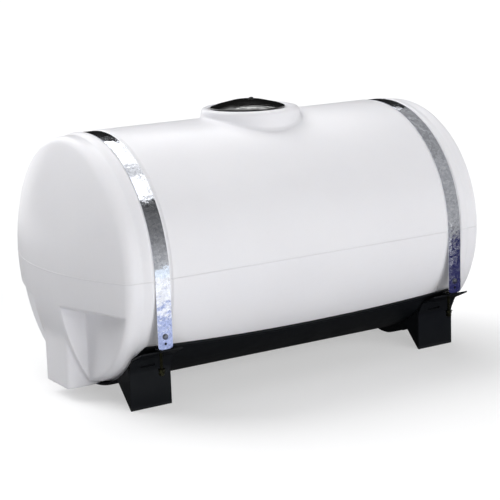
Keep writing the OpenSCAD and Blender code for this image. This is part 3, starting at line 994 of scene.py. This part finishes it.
def make_studs():
    """Threaded studs with a nut above each clip's foot, and below each flange a washer and two nuts."""
    places = [Matrix.Translation((x, s * STUD_Y, 0)) for x, s in corners_of_four()]
    bm = bmesh.new()
    for place in places:
        turned(bm, rod(STUD_R, stud_lo.z, CLIP_LOW + 8 * MM, 1.5 * MM, 1 * MM), place, 28)
        hexagon(bm, place @ up(CLIP_LOW + CLIP_T), 16 * MM, 3.6 * MM, 0.16)
    add_piece("tie_rods", bm, "yellow_zinc", "tie_studs", sharp=30)
    bm = bmesh.new()
    half = (nut_hi.z - nut_lo.z) / 2
    for place in places:
        hexagon(bm, place @ up(nut_lo.z) @ Matrix.Rotation(0.3, 4, "Z"), 17 * MM, half - 0.2 * MM, 0.14)
        hexagon(bm, place @ up((nut_lo.z + nut_hi.z) / 2), 17 * MM, half, 0.14)
    add_piece("lock_nuts", bm, "yellow_zinc", "stud_nuts", sharp=30)
    bm = bmesh.new()
    r, z0, z1 = washer_hi.x - BAND_X, washer_lo.z, washer_hi.z
    line = [(STUD_R, z0), (r - 0.4 * MM, z0), (r, z0 + 0.5 * MM), (r, z1 - 0.5 * MM), (r - 0.4 * MM, z1),
            (STUD_R, z1)]
    for place in places:
        turned(bm, line, place, 40)
    add_piece("flat_washers", bm, "yellow_zinc", "stud_washers", sharp=30)


make_bolts()
make_clips()
make_studs()


# --- Cradle trough ----------
trough_hi = box("cradle_trough")[1]
CRADLE_HALF = trough_hi.x
TROUGH_T = 3 * MM
TROUGH_OUT = 3.5 * MM
EDGE_HALF = CRADLE_HALF - 33 * MM
EDGE_DROP = AXIS - trough_hi.z
SAG = 26 * MM
CHAMFER_H = 40 * MM


def under_turn(drop, out):
    """Turn, from the side, at which the outline lies drop below the mould line."""
    return math.asin(min(1.0, (drop / (TANK_D + out)) ** (CORNER / 2)))


def edge_drop(x):
    """How far the trough's edge lies below the mould line: it sags, and is cut off at the ends."""
    a = abs(x)
    if a <= EDGE_HALF:
        return EDGE_DROP + SAG * (1 - (a / EDGE_HALF) ** 2)
    return EDGE_DROP + CHAMFER_H * (a - EDGE_HALF) / (CRADLE_HALF - EDGE_HALF)


def trough_point(x, turn, out):
    """Point under the tank, for a turn from 0 at the front side to pi at the back side."""
    y, z = across(-turn, -out)
    return Vector((x, -y, AXIS + z))


def x_stops(u):
    """Spreads the grid's columns so that one falls on each corner of the edge."""
    flat = 0.9
    a = abs(u)
    if a <= flat:
        return math.copysign(a / flat * EDGE_HALF, u)
    return math.copysign(EDGE_HALF + (a - flat) / (1 - flat) * (CRADLE_HALF - EDGE_HALF), u)


def make_trough():
    def place(u, v):
        x = x_stops(u)
        t0 = under_turn(edge_drop(x), TROUGH_OUT)
        return trough_point(x, math.pi / 2 + v * (math.pi / 2 - t0), TROUGH_OUT)

    bm = bmesh.new()
    mapped_grid(bm, 40, 96, place)
    piece = add_piece("rolled_trough", bm, "black_paint", "cradle_trough", sharp=40)
    face_out(piece, lambda c: c - Vector((c.x, 0, AXIS)))
    thicken(piece, TROUGH_T)
    soften(piece, 0.6 * MM)


def make_edge_rail(name, side):
    """Rounded hem along the trough's edge; side is -1 in front and 1 at the back."""
    height = 12 * MM

    def place(u, v):
        x = u * EDGE_HALF
        drop = edge_drop(x) + (v + 1) / 2 * height
        t = under_turn(drop, TROUGH_OUT)
        swell = 4 * MM * math.sqrt(max(0.0, 1 - v ** 4))
        p = trough_point(x, t, TROUGH_OUT + swell - 0.4 * MM)
        p.y *= -side
        return p

    bm = bmesh.new()
    mapped_grid(bm, 60, 10, place)
    piece = add_piece(name + "_hem", bm, "black_paint", name, sharp=60)
    face_out(piece, lambda c: Vector((0, side, 0)))


make_trough()
make_edge_rail("front_edge_rail", -1)
make_edge_rail("back_edge_rail", 1)


# --- Legs -------------------
LEG_T = 5 * MM
SLANT_REACH = 23 * MM
SLANT_RISE = 42 * MM
FLANGE_PITCH = math.radians(25)
GUSSET_PITCH = math.radians(45)
EDGE_SOFT = 0.9 * MM
CLEAR = 0.2 * MM


def trough_under(y):
    """Height of the trough's underside at a distance y from the middle plane."""
    n = CORNER
    return AXIS - (TANK_D + TROUGH_OUT) * (1 - (abs(y) / (TANK_R + TROUGH_OUT)) ** n) ** (1 / n)


def make_leg(name, flange, side):
    """Bent plate from the floor up to the flange; side is -1 in front and 1 at the back."""
    lo, hi = box(name)
    f_lo, f_hi = box(flange)
    knee = hi.y if side > 0 else -lo.y
    face = knee - SLANT_REACH
    tip = f_hi.y if side > 0 else -f_lo.y
    bend_z = f_lo.z - SLANT_RISE
    knee_z = f_lo.z + LEG_T * math.tan(FLANGE_PITCH)
    tip_z = f_hi.z - LEG_T / math.cos(FLANGE_PITCH)
    line = [(face, 0.0), (face, bend_z), (knee, knee_z), (tip, tip_z)]
    bm = bmesh.new()
    edges = chain(bm, [(lo.x, side * y, z) for y, z in line])[1]
    sweep_edges(bm, edges, (hi.x - lo.x, 0, 0))
    round_off(bm, [e for e in bm.edges if len(e.link_faces) == 2], 7 * MM, 5)
    plate = add_piece(name + "_plate", bm, "black_paint", name, flange, sharp=40)
    face_out(plate, lambda c: Vector((0, side, -0.3)))
    thicken(plate, LEG_T)
    cx = (lo.x + hi.x) / 2
    mid = (Vector((0, side * face, bend_z)) + Vector((0, side * knee, knee_z))) / 2
    tilt = Vector((0, side * (knee_z - bend_z), -(knee - face)))
    window = ((cx - 12 * MM, mid.y, mid.z - 9 * MM), tilt, 5 * MM, 60 * MM, 5.2)
    stud_hole = (Vector((cx, side * STUD_Y, (knee_z + tip_z) / 2)), (0, 0, 1), 6.5 * MM, 60 * MM)
    punch(plate, [window, stud_hole])
    soften(plate, EDGE_SOFT)
    make_gussets(name, (lo.x, hi.x - LEG_T), side, face - LEG_T, bend_z + 40 * MM)


def make_gussets(name, places, side, inner, reach):
    """Webs behind both edges of a leg's plate, which follow the trough's underside."""
    end = inner
    while trough_under(end) > (inner - end) / math.tan(GUSSET_PITCH) and inner - end < reach:
        end -= 0.5 * MM
    stops = [inner + (end - inner) * i / 12 for i in range(1, 13)]
    line = [(inner + 0.5 * MM, 0.0), (inner + 0.5 * MM, trough_under(inner) - CLEAR)]
    line += [(y, trough_under(y) - CLEAR) for y in stops]
    bm = bmesh.new()
    for x in places:
        web = outline_face(bm, [(x, side * y, z) for y, z in line])
        sweep_faces(bm, [web], (LEG_T, 0, 0))
    gussets = add_piece(name + "_gussets", bm, "black_paint", sharp=40)
    soften(gussets, EDGE_SOFT)


for end in ("left", "right"):
    for side, face in ((-1, "front"), (1, "back")):
        make_leg(face + "_" + end + "_leg", face + "_" + end + "_flange", side)


# --- Cross-members ----------
def smooth_line(points, n):
    """Points joined by a smooth curve through all of them."""
    p = [points[0]] + points + [points[-1]]
    out = []
    for i in range(1, len(p) - 2):
        for k in range(n):
            t = k / n
            a, b, c, d = p[i - 1], p[i], p[i + 1], p[i + 2]
            out.append(tuple(0.5 * (2 * b[j] + (c[j] - a[j]) * t
                                    + (2 * a[j] - 5 * b[j] + 4 * c[j] - d[j]) * t * t
                                    + (3 * b[j] - a[j] - 3 * c[j] + d[j]) * t ** 3) for j in (0, 1)))
    return out + [points[-1]]


def make_crossmember(name, lobe, deepest):
    """Pressed web under the trough, drawn down to a lobe on each side, and at most so deep."""
    lo, hi = box(name)
    foot = hi.y
    low_z = lo.z - lobe
    half = steps_from(0, lo.z, (0, 0), (38, 0)) + [(56 * MM, low_z + 0.5 * lobe)]
    half += steps_from(0, low_z, (74, 0), (98, 0), (118, 2), (152, 12), (186, 24), (218, 37))
    half += [(foot, trough_under(foot) - 12 * MM)]
    curve = [(y, max(z, trough_under(y) - deepest)) for y, z in smooth_line(half, 5)]
    line = [(-y, z) for y, z in reversed(curve[1:])] + curve
    n = 40
    back = [foot - 2 * foot * i / n for i in range(n + 1)]
    line += [(y, trough_under(y) - CLEAR) for y in back]
    bm = bmesh.new()
    web = outline_face(bm, [(lo.x, y, z) for y, z in line])
    sweep_faces(bm, [web], (hi.x - lo.x, 0, 0))

    def is_low(v):
        return abs(v.co.y) < foot - 1 * MM and v.co.z < trough_under(v.co.y) - 1 * MM

    low_edges = [e for e in bm.edges if all(is_low(v) for v in e.verts)]
    rims = [e for e in low_edges if abs(e.verts[0].co.x - e.verts[1].co.x) < 1e-6]
    round_off(bm, rims, 3 * MM, 4)
    add_piece(name + "_pressing", bm, "black_paint", name, sharp=40)


make_crossmember("left_crossmember", 0.0, 5 * MM)
make_crossmember("right_crossmember", 5.5 * MM, 80 * MM)


# --- Camera -----------------
VIEW_PLACE = (-2.763, -4.502, 1.513)
VIEW_AZIMUTH = -31.57
VIEW_ELEVATION = 12.093
VIEW_ROLL = math.radians(-2.017)


def direction(azimuth, elevation):
    """Unit vector towards a place, in degrees; azimuth 0 is in front and 90 to the right."""
    a, e = math.radians(azimuth), math.radians(elevation)
    return Vector((math.sin(a) * math.cos(e), -math.cos(a) * math.cos(e), math.sin(e)))


def stand_camera():
    data = bpy.data.cameras.new("camera")
    data.sensor_width = 36.0
    data.lens = 114.5
    data.clip_end = 200.0
    data.shift_x = -0.00056
    data.shift_y = -0.0054
    camera = new_object("camera", data)
    back = direction(VIEW_AZIMUTH, VIEW_ELEVATION)
    a = math.radians(VIEW_AZIMUTH)
    level = Vector((math.cos(a), math.sin(a), 0.0))
    upright = back.cross(level)
    right = level * math.cos(VIEW_ROLL) + upright * math.sin(VIEW_ROLL)
    above = upright * math.cos(VIEW_ROLL) - level * math.sin(VIEW_ROLL)
    m = Matrix((right, above, back)).transposed().to_4x4()
    m.translation = Vector(VIEW_PLACE)
    camera.matrix_world = m
    scene.camera = camera


stand_camera()


# --- Floor, world and lamps -
def plain_object(name, bm):
    thing = new_object(name, mesh_from(bm, name))
    return thing


def seen_rays(tree):
    """1 for rays that show the studio as it is seen, 0 for those that light the tank."""
    path = tree.nodes.new("ShaderNodeLightPath").outputs
    mirrored = calc(tree, "MAXIMUM", path["Is Camera Ray"], path["Is Glossy Ray"])
    return calc(tree, "MAXIMUM", mirrored, path["Is Transmission Ray"])


def make_floor():
    bm = bmesh.new()
    bmesh.ops.create_grid(bm, x_segments=2, y_segments=2, size=45.0)
    floor = plain_object("floor", bm)
    finish, tree = new_finish("floor_white", Base_Color=(0.55, 0.55, 0.555, 1), Roughness=0.9,
                              Specular_IOR_Level=0.0)
    coat = tree.nodes["Principled BSDF"].outputs[0]
    glow = add(tree, "Emission", Strength=0.46)
    both = add(tree, "AddShader", i0=coat, i1=glow.outputs[0])
    mix = add(tree, "MixShader", i0=seen_rays(tree), i1=coat, i2=both.outputs[0])
    tree.links.new(mix.outputs[0], tree.nodes["Material Output"].inputs[0])
    floor.data.materials.append(finish)


def make_world():
    world = bpy.data.worlds.new("studio")
    scene.world = world
    world.use_nodes = True
    tree = world.node_tree
    level = add(tree, "MapRange", Value=seen_rays(tree), To_Min=0.02, To_Max=1.0)
    sky = tree.nodes["Background"]
    sky.inputs[0].default_value = (1, 1, 1, 1)
    tree.links.new(level.outputs[0], sky.inputs["Strength"])


def soft_lamp(name, azimuth, elevation, level, spread):
    """Broad even light; level is what it adds to a white face turned to it."""
    data = bpy.data.lights.new(name, "SUN")
    data.energy = level * math.pi
    data.angle = math.radians(spread)
    lamp = new_object(name, data)
    lamp.matrix_world = direction(azimuth, elevation).to_track_quat("Z", "Y").to_matrix().to_4x4()
    lamp.visible_glossy = False


def card(name, x, y, z, low_glow, high_glow=None):
    """Flat studio card, which only shines in glossy faces; x, y and z are ranges or one place.

    Its glow, a grey or a colour, runs from low_glow at the bottom to high_glow at the top."""
    spans = [span if isinstance(span, tuple) else (span, span) for span in (x, y, z)]
    glows = [g if isinstance(g, tuple) else (g, g, g) for g in (low_glow, high_glow or low_glow)]
    lo, hi = [Vector(corner) for corner in zip(*spans)]
    size = hi - lo
    bm = bmesh.new()
    bmesh.ops.create_grid(bm, x_segments=1, y_segments=1, size=0.5)
    if size.z > 1e-6:
        bmesh.ops.rotate(bm, verts=bm.verts[:], cent=(0, 0, 0), matrix=Matrix.Rotation(math.pi / 2, 3, "X"))
    bmesh.ops.scale(bm, vec=[max(v, 1e-6) for v in size], verts=bm.verts[:])
    bmesh.ops.translate(bm, vec=(lo + hi) / 2, verts=bm.verts[:])
    sheet = plain_object(name, bm)
    finish, tree = new_finish(name)
    high = add(tree, "SeparateXYZ", Vector=add(tree, "TexCoord").outputs["Object"])
    rise = add(tree, "MapRange", Value=high.outputs["Z"], From_Min=lo.z, From_Max=max(hi.z, lo.z + 0.01))
    glow = add(tree, "Emission", Color=tint(tree, rise.outputs[0], *glows), Strength=1.0)
    tree.links.new(glow.outputs[0], tree.nodes["Material Output"].inputs[0])
    sheet.data.materials.append(finish)
    for kind in ("camera", "diffuse", "transmission", "volume_scatter", "shadow"):
        setattr(sheet, "visible_" + kind, False)


# Name, azimuth, elevation, level and spread
LAMPS = [
    ("key_light", 15, 4, 0.92, 60),
    ("front_left_light", -30, 12, 0.21, 60),
    ("top_light", -10, 68, 0.06, 60),
    ("back_light", 170, 55, 0.49, 50),
    ("rim_light", -145, 42, 0.66, 40),
]

# The planes that the cards stand and lie in, from the back to the front and from the top down
BACK = 3.3
FRONT = -2.65
NEAR = -5.2
CEILING = 4.6
FLOOR = 0.01

# Name, x, y, z, glow at the bottom and, where it differs, at the top
CARDS = [
    ("back_flag", (0.4, 4.2), BACK, (0.5, 2.9), 0.012),
    ("back_flag_high", (0.4, 1.4), BACK, (2.9, 3.6), 0.1, 0.4),
    ("back_flag_high_right", (1.4, 4.2), BACK, (2.9, 4.2), 0.03),
    ("back_flag_right", (4.2, 7), BACK, (0.5, CEILING), 0.25),
    ("back_flag_left", (-5, -1.2), BACK, (0.5, CEILING), 0.12),
    ("left_back_softbox", (-1.2, 0.4), BACK, (0.3, CEILING), 1.2, 2.4),
    ("back_softbox_high", (0.4, 1.4), BACK, (3.6, CEILING), 1.3),
    ("lid_strip_back", (1.4, 1.9), BACK, (4.2, CEILING), 7.0),
    ("strip_softbox", (1.9, 4.2), BACK, (4.2, CEILING), 3.0),
    ("back_floor_card", (-4.0, 1.2), (0.7, BACK), FLOOR, 0.2),
    # Dark card on the floor under the tank: painted shade of the floor there, seen only in glossy faces
    ("under_tank_shade_card", (-4.0, 1.2), (-0.4, 0.7), FLOOR, 0.05),
    ("front_flag_base", (-0.6, 1.4), FRONT, (0.0, 0.3), (1.1, 1.2, 1.3)),
    ("front_flag_low", (-0.6, 2.1), FRONT, (0.3, 1.7), 0.6, 0.22),
    ("front_flag_high", (-0.6, 2.1), FRONT, (1.7, CEILING), 0.22, 0.03),
    ("front_wall", (2.1, 6.5), FRONT, (0.0, CEILING), 0.44),
    ("front_left_wall", (-6, -0.6), NEAR, (0.1, CEILING), 0.4),
    ("ceiling_left", (-6, 0.9), (NEAR, BACK), CEILING, 0.1),
    ("ceiling_right", (3.0, 6.5), (FRONT, BACK), CEILING, 0.36),
    ("softbox_front", (0.9, 1.75), (-2.6, -0.7), CEILING, 2.2),
    ("softbox_middle", (0.9, 1.75), (-0.7, 0.2), CEILING, 0.85),
    ("softbox_back", (0.9, 1.75), (0.2, BACK), CEILING, 1.7),
    ("ceiling_middle", (1.75, 3.0), (FRONT, 0.8), CEILING, 1.1),
    ("ceiling_back", (1.75, 2.3), (0.8, 2.75), CEILING, 1.1),
    ("lid_softbox", (2.3, 3.0), (0.8, 2.6), CEILING, 3.2),
    ("lid_strip_top", (1.75, 2.4), (2.75, BACK), CEILING, 6.5),
    ("softbox_far", (2.4, 3.0), (2.6, BACK), CEILING, 3.0),
    ("blue_floor_card", (0.35, 2.8), (-1.85, -0.4), FLOOR, (0.03, 0.03, 0.11)),
    ("far_floor_card", (1.6, 5.0), (FRONT, -1.85), FLOOR, 0.35),
    ("near_floor_card", (-0.9, 0.35), (-1.0, -0.6), FLOOR, (0.22, 0.25, 0.42)),
    ("mid_floor_card", (-0.9, 0.35), (-1.5, -1.0), FLOOR, (0.54, 0.62, 0.93)),
    ("front_floor_card", (-0.9, 1.5), (-4.2, -1.5), FLOOR, 1.3),
]

make_floor()
make_world()
for lamp in LAMPS:
    soft_lamp(*lamp)
for row in CARDS:
    card(*row)

scene.view_settings.view_transform = "Standard"
